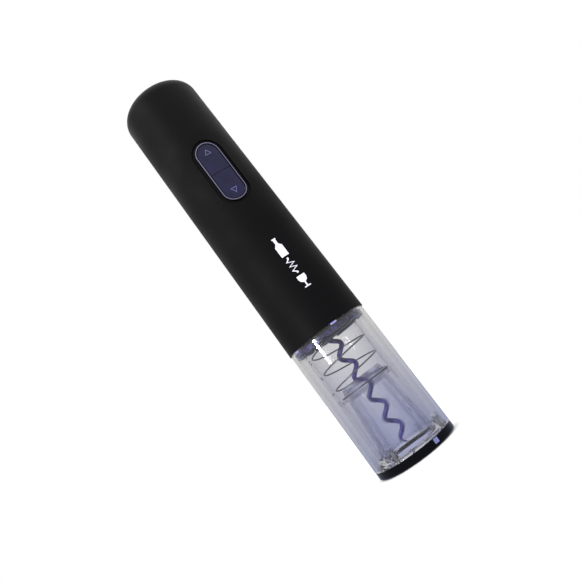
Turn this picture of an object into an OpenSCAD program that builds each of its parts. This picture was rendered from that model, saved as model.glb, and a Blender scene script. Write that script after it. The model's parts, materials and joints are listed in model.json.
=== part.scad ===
// Battery electric wine opener: a soft-touch handle over a clear bottle section.
// Millimetres, +Z up, origin at the centre of the bottom face, the buttons face -Y.

/* [Handle] */
// Height of the whole opener
total_h = 247; // [245:1:249]
// Height at which the handle ends and the clear section begins
joint_z = 77.5; // [77:0.5:78]
// Handle radius at its lower edge
body_r = 24; // [23.9:0.05:24.1]
// Handle radius at its top
top_r = 23.3; // [23.2:0.05:23.4]
// Handle wall thickness
wall = 2; // [1.9:0.05:2.05]
// Rounding of the handle's top edge
top_round = 8; // [7:0.5:9]

/* [Clear section] */
// Outer radius of the clear tube
tube_r = 23.4; // [23.2:0.1:23.5]
// Wall thickness of the clear tube
tube_wall = 1.8; // [1.6:0.1:1.8]
// Bore radius of the inner guide tube
guide_r = 16.6; // [16.5:0.1:16.7]
// Height of the black base ring
base_h = 4.7; // [4.5:0.1:4.7]
// Radius of the hole that the bottle neck enters
mouth_r = 15.2; // [15:0.1:15.3]

/* [Worm, carriage and spring] */
// Outer radius of the worm's helix
worm_r = 4; // [3.8:0.1:4]
// Radius of the worm's wire
wire_r = 1.3; // [1.1:0.05:1.3]
// Rise of the worm in one turn
worm_pitch = 12.85; // [12.5:0.05:13.2]
// Upward travel of the cork carriage
carriage_travel = 27; // [20:1:27]
// Coils of the carriage spring between its closed ends
spring_turns = 3; // [3:1:4]
// Radius of the spring's wire
spring_wire_r = 0.4; // [0.3:0.05:0.45]

/* [Buttons] */
// Height of the line between the two buttons
buttons_z = 178; // [177:0.5:178]
// Length of the oval button frame
frame_l = 39; // [38.5:0.5:39]
// Width of the oval button frame
frame_w = 14.5; // [14:0.5:14.5]
// Inward travel of each button
button_travel = 0.5; // [0.3:0.1:0.5]

/* [Gears] */
// Gear module
gear_m = 0.4; // [0.39:0.01:0.4]
// Teeth on each sun gear
sun_n = 12; // [12]
// Teeth on each planet gear
planet_n = 33; // [33]
// Planets in each stage
planets = 3; // [3]

/* [Hidden] */
$fn = 96;
eps = 0.01;
gap = 0.05;       // resting gap between parts that only touch
fit = 0.1;        // clearance around parts that drop into place

// Clear section, worked out from the driving sizes
tube_in = tube_r - tube_wall;
guide_wall = 1.4;
guide_out = guide_r + guide_wall;
floor_z = base_h + gap;           // lower end of everything that stands on the base ring
boss_ring_r = 19.6;               // circle that the base screws lie on
seat_z = 76;                      // underside of the spring's upper seat
tab_a = 282;                      // where the clear tube's two latch tabs are, the other one is opposite
tab_w = 2.6;

// Carriage heights
flange_z = 41.2;
flange_h = 1.5;
cap_z = 48.2;
flange_r = 15.9;
flare_r = 15.8;
hole_r = 5;                       // hole in the carriage that the worm guide sits in
key_w = 2;

// Spigot and bulkhead
spigot_r = body_r - wall - fit;
spigot_in = 20.6;
spigot_top = 81.4;
plug_z = 79.4;
flange_low = 83.2;
flange_top = 85.2;
screw_ring_r = 20.1;              // circle of the screws that hold the handle

// Gear train
ring_n = sun_n + 2 * planet_n;
pressure = 20;
sun_p = gear_m * sun_n / 2;
planet_p = gear_m * planet_n / 2;
ring_p = gear_m * ring_n / 2;
centre_r = sun_p + planet_p;
tooth_top = 0.8 * gear_m;
tooth_foot = 1.2 * gear_m;
slack = 0.045;                    // backlash cut from each flank
pin_r = 1;
run = 0.03;                       // running clearance of pins and shafts
case_r = 17.6;
case_z = 85.3;
case_top = 108.2;
stage2_z = 90.3;
stage2_w = 8;
stage1_z = 100.9;
stage1_w = 5;
shaft_r = 3;

// Motor
plate_top = 110.2;
motor_r = 13.85;
motor_z = plate_top + 0.2;
motor_l = 34;
mshaft_r = 1.15;

// Chassis and cells
bay_floor = 178.4;
bay_top = 238.6;
cell_r = 7.2;
cell_l = 49.5;
nub_h = 1;
cell_at = 7.4;
rail_x = 15;
rail_w = 4.4;

// Switches
board_y = -15.4;
board_t = 1.2;
button_top_r = 23.35;             // outer face of the buttons
frame_rim = 1.25;
split_gap = 0.3;
plate_y = -20.4;                  // inner face of the buttons
switch_off = 9.5;                 // each switch's distance from the line between the buttons
plunger_r = 1.5;

// Battery door
door_w = 31;
door_low = 180;
door_high = 239;
door_round = 3;
door_gap = 0.25;

// Colours
soft_black = [0.07, 0.07, 0.08];
gloss_black = [0.04, 0.04, 0.05];
clear_lilac = [0.75, 0.77, 0.88, 0.4];
lit_blue = [0.2, 0.22, 0.45];
steel = [0.7, 0.71, 0.74];
brass = [0.78, 0.62, 0.3];
bronze = [0.66, 0.47, 0.28];
copper = [0.75, 0.42, 0.24];
nylon = [0.88, 0.87, 0.82];
board_green = [0.1, 0.33, 0.2];
worm_black = [0.14, 0.12, 0.3];

// ---------- shared shapes ----------

module ring(r_out, r_in, z0, z1) {
    translate([0, 0, z0]) difference() {
        cylinder(h = z1 - z0, r = r_out);
        translate([0, 0, -1]) cylinder(h = z1 - z0 + 2, r = r_in);
    }
}

module disc(r, z0, z1) {
    translate([0, 0, z0]) cylinder(h = z1 - z0, r = r);
}

// Copies its children at every angle of a list, a radius out from the axis
module around(angles, r) {
    for (a = angles) rotate(a) translate([r, 0, 0]) children();
}

// An oval with its long side along Y
module oval(w, l) {
    square([w, l - w], center = true);
    for (s = [-1, 1]) translate([0, s * (l - w) / 2]) circle(d = w);
}

// A rectangle with true round corners
module round_rect(w, l, r) {
    square([w - 2 * r, l], center = true);
    square([w, l - 2 * r], center = true);
    for (sx = [-1, 1], sy = [-1, 1]) translate([sx * (w / 2 - r), sy * (l / 2 - r)]) circle(r = r);
}

// Stands a flat shape up facing -Y, centred at a height, and gives it a depth from y0 to y1
module facing(z, y0, y1) {
    translate([0, y1, z]) rotate([90, 0, 0]) linear_extrude(height = y1 - y0) children();
}

// A screw standing on its head, with its shank pointing up
module screw(shank_r, length, head_r, head_h) {
    difference() {
        union() {
            cylinder(h = head_h, r = head_r);
            cylinder(h = head_h + length, r = shank_r);
        }
        for (a = [0, 90]) rotate(a)
            translate([-head_r * 0.6, -0.2, -eps]) cube([head_r * 1.2, 0.4, head_h * 0.5]);
    }
}

// ---------- swept wires ----------

function unit(v) = v / norm(v);

// Rings of points around a path; rad(i) is the wire's radius at each point
function sweep_points(path, radii, sides, ref) = [
    for (i = [0:len(path) - 1])
        let (a = path[max(i - 1, 0)], b = path[min(i + 1, len(path) - 1)],
             t = unit(b - a), u = unit(cross(t, ref)), v = cross(t, u))
        for (k = [0:sides - 1])
            path[i] + radii[i] * (cos(360 * k / sides) * u + sin(360 * k / sides) * v)
];

function sweep_faces(rings, sides) = concat(
    [[for (k = [0:sides - 1]) k]],
    [for (i = [0:rings - 2], k = [0:sides - 1])
        let (n = (k + 1) % sides)
        [i * sides + k, (i + 1) * sides + k, (i + 1) * sides + n, i * sides + n]],
    [[for (k = [sides - 1:-1:0]) (rings - 1) * sides + k]]
);

module sweep(path, radii, sides, ref) {
    polyhedron(points = sweep_points(path, radii, sides, ref), faces = sweep_faces(len(path), sides));
}

// A point of the smooth curve through p1 and p2, with p0 and p3 beside them
function between(p0, p1, p2, p3, t) =
    0.5 * (2 * p1 + (p2 - p0) * t + (2 * p0 - 5 * p1 + 4 * p2 - p3) * t * t
        + (3 * p1 - p0 - 3 * p2 + p3) * t * t * t);

function smooth_path(pts, steps) = concat(
    [for (i = [0:len(pts) - 2], s = [0:steps - 1])
        between(pts[max(i - 1, 0)], pts[i], pts[i + 1], pts[min(i + 2, len(pts) - 1)], s / steps)],
    [pts[len(pts) - 1]]
);

module lead(pts, r = 0.6) {
    path = smooth_path(pts, 5);
    sweep(path, [for (p = path) r], 8, [0.31, 0.95, 0.05]);
}

// ---------- handle ----------

// Half outline of the handle, filled to the axis and taken in by inset
module handle_outline(inset, z0) {
    r_low = body_r - inset;
    r_top = top_r - inset;
    c = top_round - inset;
    z_c = total_h - top_round;
    polygon([[0, z0], [r_low, z0], [r_top, z_c], [0, z_c]]);
    translate([0, z_c - eps]) square([r_top - c, c + eps]);
    intersection() {
        translate([r_top - c, z_c]) circle(r = c);
        translate([r_top - c - eps, z_c - eps]) square(c + 1);
    }
}

module handle_shell() {
    difference() {
        rotate_extrude() handle_outline(0, joint_z);
        rotate_extrude() handle_outline(wall, joint_z - 1);
    }
}

module door_block(grow, y0, y1) {
    facing((door_low + door_high) / 2, y0, y1)
        round_rect(door_w + 2 * grow, door_high - door_low + 2 * grow, door_round + grow);
}

module housing() {
    boss_z = flange_top + 0.1;
    color(soft_black) difference() {
        union() {
            handle_shell();
            around([30, 150, 270], screw_ring_r) disc(2.1, boss_z, boss_z + 14);
        }
        around([30, 150, 270], screw_ring_r) disc(0.95, boss_z - 1, boss_z + 10);
        facing(buttons_z, -26, -18) oval(frame_w + 0.2, frame_l + 0.2);
        // shallow dish around the button frame
        intersection() {
            facing(buttons_z, -26, -18) oval(frame_w + 3.4, frame_l + 3.4);
            ring(30, body_r - 1.15, buttons_z - 30, buttons_z + 30);
        }
        door_block(door_gap, 10, 30);
    }
}

module battery_door() {
    color(soft_black) {
        intersection() {
            handle_shell();
            door_block(0, 10, 30);
        }
        // snap ribs along the lower and upper edges
        for (s = [-1, 1]) translate([s * 6 - 2, 17.6, door_low + 0.5]) cube([4, 4.6, 1.5]);
        translate([-4, 17.6, door_high - 2.2]) cube([8, 4.4, 1.6]);
    }
}

// ---------- buttons ----------

module button_frame() {
    color(gloss_black) difference() {
        union() {
            intersection() {
                facing(buttons_z, -26, -18) oval(frame_w, frame_l);
                ring(body_r - 0.4, 21.2, buttons_z - 25, buttons_z + 25);
            }
            // flange behind the wall
            intersection() {
                facing(buttons_z, -26, -17) oval(frame_w + 2.4, frame_l + 2.4);
                ring(21.3, 20.7, buttons_z - 25, buttons_z + 25);
            }
        }
        facing(buttons_z, -26, -15) oval(frame_w - 2 * frame_rim, frame_l - 2 * frame_rim);
        // groove that the trim lies in
        intersection() {
            facing(buttons_z, -26, -18) difference() {
                oval(frame_w - 0.7, frame_l - 0.7);
                oval(frame_w - 1.7, frame_l - 1.7);
            }
            ring(30, body_r - 0.8, buttons_z - 25, buttons_z + 25);
        }
    }
}

module frame_trim() {
    color(steel) intersection() {
        facing(buttons_z, -26, -18) difference() {
            oval(frame_w - 0.74, frame_l - 0.74);
            oval(frame_w - 1.66, frame_l - 1.66);
        }
        ring(body_r - 0.25, body_r - 0.8 + 0.02, buttons_z - 25, buttons_z + 25);
    }
}

// One of the two buttons: side is -1 for the lower, 1 for the upper
module button(side) {
    w = frame_w - 2 * frame_rim - 0.3;
    l = frame_l - 2 * frame_rim - 0.3;
    half = l / 2 - split_gap / 2;
    stem_z = buttons_z + side * switch_off;
    intersection() {
        facing(buttons_z, -26, -15) oval(w, l);
        ring(button_top_r, 19.6, buttons_z - 25, buttons_z + 25);
        translate([-10, -26, side > 0 ? buttons_z + split_gap / 2 : buttons_z - split_gap / 2 - half])
            cube([20, 26 + plate_y, half]);
    }
    // stem that reaches the switch
    translate([0, plate_y - 0.2, stem_z]) rotate([-90, 0, 0]) cylinder(h = 0.5, r = 1.3);
}

module down_button() { color(lit_blue) button(-1); }
module up_button() { color(lit_blue) button(1); }

module switch_board() {
    color(board_green) difference() {
        facing(buttons_z - 0.5, board_y - board_t, board_y) round_rect(18, 43, 1.5);
        for (s = [-1, 1]) translate([s * 2, board_y + 1, buttons_z - 15]) rotate([90, 0, 0])
            cylinder(h = 4, r = 0.5);
    }
}

module tact_switches() {
    face = board_y - board_t;
    color(steel) for (s = [-1, 1]) translate([0, face, buttons_z + s * switch_off]) difference() {
        translate([-3, -2, -3]) cube([6, 2, 6]);
        rotate([90, 0, 0]) translate([0, 0, 0.5]) cylinder(h = 4, r = plunger_r + 0.05);
    }
}

module plunger(side) {
    translate([0, plate_y + 0.3, buttons_z + side * switch_off]) rotate([-90, 0, 0])
        cylinder(h = board_y - board_t - 0.6 - button_travel - plate_y - 0.3, r = plunger_r);
}

module down_plunger() { color(gloss_black) plunger(-1); }
module up_plunger() { color(gloss_black) plunger(1); }

module board_parts() {
    face = board_y - board_t;
    color(gloss_black) {
        translate([3.9, face - 1.2, buttons_z - 19]) cube([4, 1.2, 5]);
        translate([-7.9, face - 1, buttons_z - 18.5]) cube([3, 1, 4]);
        for (s = [-1, 0, 1]) translate([-7.8, face - 0.7, buttons_z + s * 4 - 0.8]) cube([2, 0.7, 1.2]);
    }
}

module button_leds() {
    face = board_y - board_t;
    color(lit_blue) for (s = [-1, 1]) translate([3.9, face - 1.1, buttons_z + s * 13.6]) cube([2.2, 1.1, 1.6]);
}

// ---------- chassis, cells and contacts ----------

module chassis() {
    color(nylon) difference() {
        union() {
            ring(21.3, motor_r + 0.15, plate_top + 0.1, plate_top + 3);
            for (s = [-1, 1]) translate([s > 0 ? rail_x : -rail_x - rail_w, -4.5, plate_top + 1])
                cube([rail_w, 9, bay_top + 1.8 - plate_top - 1]);
            difference() {
                disc(20.4, bay_floor - 2, bay_floor);
                translate([-30, -30 - 14.9, bay_floor - 3]) cube([60, 30, 5]);
            }
            disc(19.4, bay_top, bay_top + 1.8);
            // channels that hold the switch board by its edges
            for (s = [-1, 1]) translate([s > 0 ? 8.2 : -10.4, -17.3, buttons_z - 21])
                cube([2.2, 2.7, 41]);
        }
        translate([-9.05, board_y - board_t - 0.03, buttons_z - 22]) cube([18.1, board_t + 0.06, 44]);
        // wire passages in the floor and the lower ring
        translate([0, -10.5, bay_floor - 3]) cylinder(h = 4, r = 1.8);
        translate([-2, -24, plate_top - 1]) cube([4, 6.2, 6]);
        around([45, 225], 16) disc(1.05, plate_top - 1, plate_top + 5);
    }
}

// One AA cell standing on its flat end
module cell_up() {
    color([0.35, 0.36, 0.4]) {
        cylinder(h = cell_l, r = cell_r);
        translate([0, 0, cell_l - eps]) cylinder(h = nub_h + eps, r = 2.7);
    }
}

spring_side = 6.2;                // room for a contact spring
plate_side = bay_top - bay_floor - cell_l - nub_h - spring_side;

module cell(x, y, up) {
    if (up) translate([x, y, bay_floor + spring_side]) cell_up();
    else translate([x, y, bay_top - spring_side]) mirror([0, 0, 1]) cell_up();
}

module cell_1() { cell(-cell_at, -cell_at, true); }
module cell_2() { cell(cell_at, -cell_at, false); }
module cell_3() { cell(-cell_at, cell_at, false); }
module cell_4() { cell(cell_at, cell_at, true); }

// A cone-shaped coil spring that stands on z = 0
module contact_spring(h) {
    turns = 4;
    path = [for (i = [0:turns * 12]) let (t = i / (turns * 12), r = 4.2 - 2.2 * t)
        [r * cos(i * 30), r * sin(i * 30), 0.35 + (h - 0.75) * t]];
    sweep(path, [for (p = path) 0.3], 6, [0, 0, 1]);
}

module contact_springs() {
    h = spring_side - 0.5;
    color(steel) {
        for (s = [-1, 1]) translate([s * cell_at, s * cell_at, bay_floor + 0.4]) contact_spring(h);
        for (s = [-1, 1]) translate([s * cell_at, -s * cell_at, bay_top - 0.4]) mirror([0, 0, 1])
            contact_spring(h);
    }
}

module contact_plate(x, y) {
    translate([x, y, 0]) {
        translate([-5, -5, 0]) cube([10, 10, 0.3]);
        cylinder(h = plate_side - 0.1, r = 2.2);
    }
}

module contact_plates() {
    color(steel) {
        // lower end: a bridge between cells 3 and 4, and single plates for the other two
        translate([0, 0, bay_floor + 0.02]) {
            for (s = [-1, 1]) contact_plate(s * cell_at, -s * cell_at);
            for (s = [-1, 1]) translate([s * cell_at - 5, s * cell_at - 5, 0]) cube([10, 10, 0.3]);
            translate([-4, cell_at - 2, 0]) cube([8, 4, 0.3]);
            // tails that the battery leads are soldered to
            for (s = [-1, 1]) translate([s * 1.6 - 1, -11.2, 0]) cube([2, 1.4, 0.3]);
        }
        translate([0, 0, bay_top - 0.02]) mirror([0, 0, 1]) {
            for (s = [-1, 1]) contact_plate(s * cell_at, s * cell_at);
            for (s = [-1, 1]) translate([s * cell_at - 5, -s * cell_at - 5, 0]) cube([10, 10, 0.3]);
            for (s = [-1, 1]) translate([s * cell_at - 2, -4, 0]) cube([4, 8, 0.3]);
        }
    }
}

// ---------- motor ----------

module motor_can() {
    color(steel) difference() {
        union() {
            disc(motor_r, motor_z, motor_z + motor_l);
            disc(5, plate_top - 1.4, motor_z + 1);
        }
        disc(motor_r - 0.95, motor_z + 1.2, motor_z + motor_l + 1);
        disc(2.6, plate_top - 2, motor_z + 3);
        around([0, 180], 8) disc(1, motor_z - 1, motor_z + 2);
    }
}

module motor_magnets() {
    color([0.25, 0.25, 0.27]) for (a = [0, 180]) rotate(a) intersection() {
        ring(motor_r - 1, motor_r - 3.2, motor_z + 3, motor_z + 28);
        translate([0, 0, motor_z]) linear_extrude(height = 40)
            polygon([[0, 0], [16, -26], [30, 0], [16, 26]]);
    }
}

module motor_cap() {
    color(nylon) difference() {
        union() {
            disc(motor_r - 1, motor_z + motor_l - 2.6, motor_z + motor_l);
            disc(motor_r, motor_z + motor_l + gap, motor_z + motor_l + 1.6);
            disc(motor_r - 1, motor_z + motor_l - 1, motor_z + motor_l + 1);
            disc(4.5, motor_z + motor_l, motor_z + motor_l + 3.6);
        }
        disc(mshaft_r + run, motor_z + 20, motor_z + 50);
        for (s = [-1, 1]) translate([s * 9 - 1.3, -0.3, motor_z + 30]) cube([2.6, 0.6, 10]);
    }
}

module motor_terminals() {
    low = motor_z + motor_l - 3.4;
    color(brass) for (a = [0, 180]) rotate(a) {
        translate([7.8, -0.25, low]) cube([2.4, 0.5, 9.9]);
        // brush arm that presses on the commutator
        translate([3.45, -1, low]) cube([6.75, 2, 0.7]);
        translate([3.45, -1, low - 4]) cube([0.5, 2, 4.5]);
    }
}

module motor_bush() {
    color(bronze) ring(2.6, mshaft_r + run, plate_top - 1.4, motor_z + 2.8);
}

module motor_shaft() {
    color(steel) disc(mshaft_r, stage1_z, motor_z + motor_l + 2.6);
}

module armature() {
    color(steel) translate([0, 0, motor_z + 5]) linear_extrude(height = 18) difference() {
        union() {
            circle(3);
            for (a = [90, 210, 330]) rotate(a) {
                translate([2, -1.6]) square([7, 3.2]);
                intersection() {
                    difference() {
                        circle(10.1);
                        circle(8.4);
                    }
                    polygon([[1, 0], [12, -14], [20, 0], [12, 14]]);
                }
            }
        }
        circle(mshaft_r);
    }
}

module windings() {
    core_z = motor_z + 5;
    color(copper) {
        for (a = [90, 210, 330], s = [-1, 1]) rotate(a)
            translate([3.3, s > 0 ? 1.65 : -3.45, core_z - 1]) cube([4.3, 1.8, 20]);
        // commutator
        ring(3.4, mshaft_r, core_z + 20.5, core_z + 25);
    }
}

// ---------- gears ----------

function inv(a) = tan(a) * 180 / PI - a;

// Half the angle that a tooth covers at radius r, with flanks taken in by cut
function half_tooth(n, r, cut) =
    let (p = gear_m * n / 2, b = p * cos(pressure), rr = max(r, b))
    90 / n - cut / p * 180 / PI + inv(pressure) - inv(acos(b / rr));

// Closed outline of a gear whose first tooth points along +X
function gear_outline(n, r_foot, r_top, cut, steps = 3) = [
    for (i = [0:n - 1], k = [-steps - 1:steps + 1])
        if (k != 0)
            let (u = (steps + 1 - abs(k)) / steps, r = r_foot + (r_top - r_foot) * u,
                 h = half_tooth(n, r, cut) * (r < gear_m * n / 2 * cos(pressure) ? 0.93 : 1),
                 a = i * 360 / n + (k < 0 ? -h : h))
            [r * cos(a), r * sin(a)]
];

module spur(n, z0, z1, bore) {
    p = gear_m * n / 2;
    translate([0, 0, z0]) difference() {
        linear_extrude(height = z1 - z0) polygon(gear_outline(n, p - tooth_foot, p + tooth_top, slack));
        if (bore > 0) translate([0, 0, -1]) cylinder(h = z1 - z0 + 2, r = bore);
    }
}

// A planet at angle a about the main axis, turned so that it meshes with its sun and ring
module planet(a, z0, z1) {
    turn = a * (1 + sun_n / planet_n) + 180 - 180 / planet_n;
    color(nylon) rotate(a) translate([centre_r, 0, 0]) rotate(turn - a) spur(planet_n, z0, z1, pin_r + run);
}

module motor_pinion() {
    color(brass) spur(sun_n, stage1_z, stage1_z + stage1_w + 0.8, mshaft_r);
}

module planet_1a() { planet(0, stage1_z, stage1_z + stage1_w); }
module planet_1b() { planet(120, stage1_z, stage1_z + stage1_w); }
module planet_1c() { planet(240, stage1_z, stage1_z + stage1_w); }
module planet_2a() { planet(0, stage2_z, stage2_z + stage2_w); }
module planet_2b() { planet(120, stage2_z, stage2_z + stage2_w); }
module planet_2c() { planet(240, stage2_z, stage2_z + stage2_w); }

module planet_pins(z0, z1) {
    around([0, 120, 240], centre_r) disc(pin_r, z0, z1);
}

module stage_carrier() {
    disc_z = stage2_z + stage2_w + 0.7;
    color(nylon) {
        disc(11.6, disc_z, disc_z + 1.6);
        planet_pins(disc_z + 1, stage1_z + stage1_w + 0.4);
        spur(sun_n, stage2_z, disc_z + 0.5, 0);
    }
}

module output_carrier() {
    disc_z = stage2_z - 2.3;
    color(steel) {
        disc(11.6, disc_z, disc_z + 2);
        planet_pins(disc_z + 1, stage2_z + stage2_w + 0.3);
        disc(shaft_r, joint_z, disc_z + 1);
    }
}

module gear_case() {
    color(nylon) difference() {
        disc(case_r, case_z, case_top);
        translate([0, 0, case_z + 2.2]) linear_extrude(height = 40)
            polygon(gear_outline(ring_n, ring_p - tooth_top, ring_p + tooth_foot, -slack));
        disc(5, case_z - 1, case_z + 4);
        around([60, 180, 300], 13) disc(0.95, case_z - 1, case_z + 4);
    }
}

module gear_plate() {
    color(steel) difference() {
        disc(case_r, case_top + gap, plate_top);
        disc(5.05, case_top - 1, plate_top + 1);
        around([0, 180], 8) disc(1.1, case_top - 1, plate_top + 1);
        around([45, 225], 16) disc(0.95, case_top - 1, plate_top + 1);
    }
}

module thrust_washer() {
    color(bronze) ring(5.6, shaft_r + run, case_z + 2.2 + 0.02, case_z + 2.2 + 0.4);
}

module output_bush() {
    color(bronze) ring(5, shaft_r + run, 82.2, case_z + 2.2);
}

module bulkhead() {
    color(nylon) difference() {
        union() {
            disc(spigot_in - 0.15, plug_z, flange_low + eps);
            disc(spigot_r, flange_low, flange_top);
            // lugs that lock into the windows of the clear tube's spigot
            around([0, 90, 180, 270], 0) translate([18, -2.4, plug_z + 0.2]) cube([3.3, 4.8, 1]);
        }
        disc(5, 82, flange_top + 1);
        disc(5.4, plug_z - 1, 82.1);
        around([30, 150, 270], screw_ring_r) {
            disc(2.1, plug_z - 1, flange_low);
            disc(1.05, flange_low - 1, flange_top + 1);
        }
        around([60, 180, 300], 13) {
            disc(2.1, plug_z - 1, plug_z + 1.5);
            disc(1.05, plug_z, flange_top + 1);
        }
        // passage for the lamp wires
        around([315], 19.4) disc(1.9, plug_z - 1, flange_top + 1);
    }
}

// ---------- worm ----------

worm_c = worm_r - wire_r;         // radius of the wire's centre line
worm_low = 6.6;
worm_top = 74.6;
worm_phase = -16;                 // angle at which the helix passes height 16.7
tip_l = 7;                        // height over which the tip is ground to a point
shank_z = 77.3;

function worm_angle(z) = worm_phase + 360 * (z - 16.7) / worm_pitch;
worm_steps = 128;
worm_rise = worm_top - worm_low;

// The helix, then a short bend onto the axis and a straight shank
worm_path = concat(
    [for (i = [0:worm_steps]) let (z = worm_low + worm_rise * i / worm_steps,
        c = worm_c * (0.72 + 0.28 * min(1, (z - worm_low) / tip_l)), a = worm_angle(z))
        [c * cos(a), c * sin(a), z]],
    [for (i = [1:6]) let (u = i / 6, c = worm_c * (1 - u) * (1 - u), a = worm_angle(worm_top + 1.5 * u))
        [c * cos(a), c * sin(a), worm_top + 1.5 * u]]
);
worm_radii = [for (p = worm_path) max(0.12, wire_r * min(1, pow(max(0, p[2] - worm_low) / tip_l, 0.75)))];

module worm() {
    color(worm_black) {
        sweep(worm_path, worm_radii, 10, [0, 0, 1]);
        disc(wire_r + 0.05, worm_top + 1.2, shank_z);
    }
}

module worm_holder() {
    color(gloss_black) difference() {
        union() {
            disc(4.5, 76.2, 81.8);
            disc(5.1, 78.2, 80.6);
        }
        disc(shaft_r, joint_z, 83);
        disc(1.5, 75, joint_z + eps);
        translate([0, 0, 76.2 - eps]) cylinder(h = 0.6, r1 = 2.5, r2 = 1.4);
    }
}

// ---------- lamp ring at the top of the clear section ----------

module led_ring_board() {
    color([0.85, 0.86, 0.88]) difference() {
        disc(20.3, 78, 79.2);
        disc(7, 77, 80);
        around([60, 180, 300], 13) disc(2.2, 77, 80);
    }
}

module ring_leds() {
    color(lit_blue) around([0, 90, 180, 270], 19.4) translate([-0.8, -1.6, 76.9]) cube([1.6, 3.2, 1.1 - 0.02]);
}

module collar_ring() {
    color(lit_blue) difference() {
        ring(tube_in - fit, guide_out + gap, 73.5, 76);
        around([for (i = [0:7]) i * 45 + 22.5], 19.8) translate([-3, -1.5, 72]) cube([6, 3, 2.4]);
    }
}

// Plate over the guide tube that the carriage spring pushes against
module spring_seat() {
    color(gloss_black) difference() {
        union() {
            disc(18.4, seat_z + gap, 77.9);
            disc(13.6, 75.4, 77);
        }
        disc(6.2, 74, 79);
    }
}

// ---------- clear section ----------

module clear_tube() {
    color(clear_lilac) difference() {
        union() {
            disc(tube_r, floor_z, joint_z - gap);
            disc(spigot_r, joint_z - 1, spigot_top);
            // latch tabs that snap into the base ring
            intersection() {
                ring(tube_r - 0.2, tube_in + 0.4, 1.8, floor_z + 1);
                around([tab_a, tab_a + 180], 0) translate([20, -tab_w / 2, 1]) cube([6, tab_w, 6]);
            }
        }
        disc(tube_in, floor_z - 1, joint_z - 1.2);
        disc(spigot_in, joint_z - 2, spigot_top + 1);
        around([0, 90, 180, 270], 0) translate([18, -2.5, plug_z + 0.1]) cube([6, 5, 1.2]);
    }
}

module guide_tube() {
    flare = 4;
    foot_h = 1.4;
    color(clear_lilac) difference() {
        union() {
            rotate_extrude() {
                translate([guide_r, floor_z]) square([guide_wall, seat_z - floor_z]);
                difference() {
                    translate([guide_out - eps, floor_z])
                        square([tube_in - fit - guide_out + eps, foot_h + flare]);
                    translate([guide_out + flare, floor_z + foot_h + flare]) circle(r = flare);
                }
            }
            around([45, 135, 225, 315], boss_ring_r) disc(1.8, floor_z, floor_z + 8);
            // two keys that stop the carriage from turning
            around([0, 180], 0) translate([guide_r - 1, -key_w / 2, 36]) cube([1.6, key_w, seat_z - 36]);
        }
        around([45, 135, 225, 315], boss_ring_r) disc(0.95, floor_z - 1, floor_z + 7);
    }
}

module base_ring() {
    round = 1.6;
    out = tube_r - 0.1;
    color(gloss_black) difference() {
        rotate_extrude() {
            translate([mouth_r, 1]) square([out - mouth_r, base_h - 1]);
            polygon([[mouth_r + 1, 0], [out - round, 0], [out - round, 1.2], [mouth_r, 1.2], [mouth_r, 1]]);
            intersection() {
                translate([out - round, round]) circle(r = round);
                translate([out - round - eps, 0]) square(round + 1);
            }
            translate([out - round - 1, 0.5]) square([1 + round - 0.6, 1]);
        }
        around([45, 135, 225, 315], boss_ring_r) {
            disc(1.05, -1, base_h + 1);
            disc(1.9, -1, 1.8);
        }
        around([tab_a, tab_a + 180], 0) translate([tube_in + 0.3, -tab_w / 2 - 0.1, 1.7])
            cube([4, tab_w + 0.2, base_h]);
    }
}

module carriage() {
    color(clear_lilac) difference() {
        union() {
            rotate_extrude() polygon([
                [14.5, floor_z + gap], [flare_r, floor_z + gap], [flare_r, 6.4], [15.3, 8.6],
                [12.8, flange_z], [flange_r, flange_z], [flange_r, flange_z + flange_h],
                [11.4, flange_z + flange_h], [11.4, flange_z], [14, 8.6], [14.5, 6.4]
            ]);
            // ribs that stop the cork from turning
            intersection() {
                rotate_extrude() polygon([[12.8, 9], [14.6, 9], [12.2, 39.5], [10.6, 39.5]]);
                around([29, 119, 209, 299], 0) translate([8, -0.6, 9]) cube([8, 1.2, 40]);
            }
        }
        around([0, 180], 0) translate([guide_r - 1.4, -key_w / 2 - 0.3, flange_z - 1]) cube([4, key_w + 0.6, 4]);
    }
}

module carriage_cap() {
    low = flange_z + flange_h + gap;
    color(clear_lilac) rotate_extrude() polygon([
        [hole_r, cap_z - 1.6], [10.2, cap_z - 1.6], [10.2, 40], [11.3, 40], [11.3, low],
        [13.4, low], [13.4, 43.6], [11.8, cap_z], [hole_r, cap_z]
    ]);
}

module worm_guide() {
    color([0.6, 0.62, 0.78, 0.6]) difference() {
        union() {
            disc(hole_r, cap_z - 3.4, cap_z + 0.02);
            disc(hole_r + 1.2, cap_z - 3.4, cap_z - 1.65);
        }
        disc(worm_r + 0.35, cap_z - 5, cap_z + 1);
    }
}

// ---------- carriage spring ----------

spring_low = flange_z + flange_h + spring_wire_r + 0.03;
spring_high = seat_z - spring_wire_r - 0.05;
spring_r_low = 14.3;
spring_r_high = 15.3;
closed = 1;                        // closed turns at each end
coil_steps = 28;
spring_total = spring_turns + 2 * closed;

// Height along the spring: closed ends rise by one wire a turn, the rest is shared by the open coils
function spring_z(t) =
    let (d = 2 * spring_wire_r + 0.05, open = spring_high - spring_low - 2 * d * closed)
    t < closed ? spring_low + d * t
    : t > spring_total - closed ? spring_high - d * (spring_total - t)
    : spring_low + d * closed + open * (t - closed) / spring_turns;

module carriage_spring() {
    path = [for (i = [0:coil_steps * spring_total])
        let (t = i / coil_steps, r = spring_r_low + (spring_r_high - spring_r_low) * t / spring_total,
             a = worm_phase + 360 * t)
        [r * cos(a), r * sin(a), spring_z(t)]];
    color(steel) sweep(path, [for (p = path) spring_wire_r], 8, [0, 0, 1]);
}

// ---------- screws ----------

module housing_screws() {
    color(steel) around([30, 150, 270], screw_ring_r) translate([0, 0, flange_low - 1.6]) screw(0.95, 11, 1.9, 1.6);
}

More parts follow.
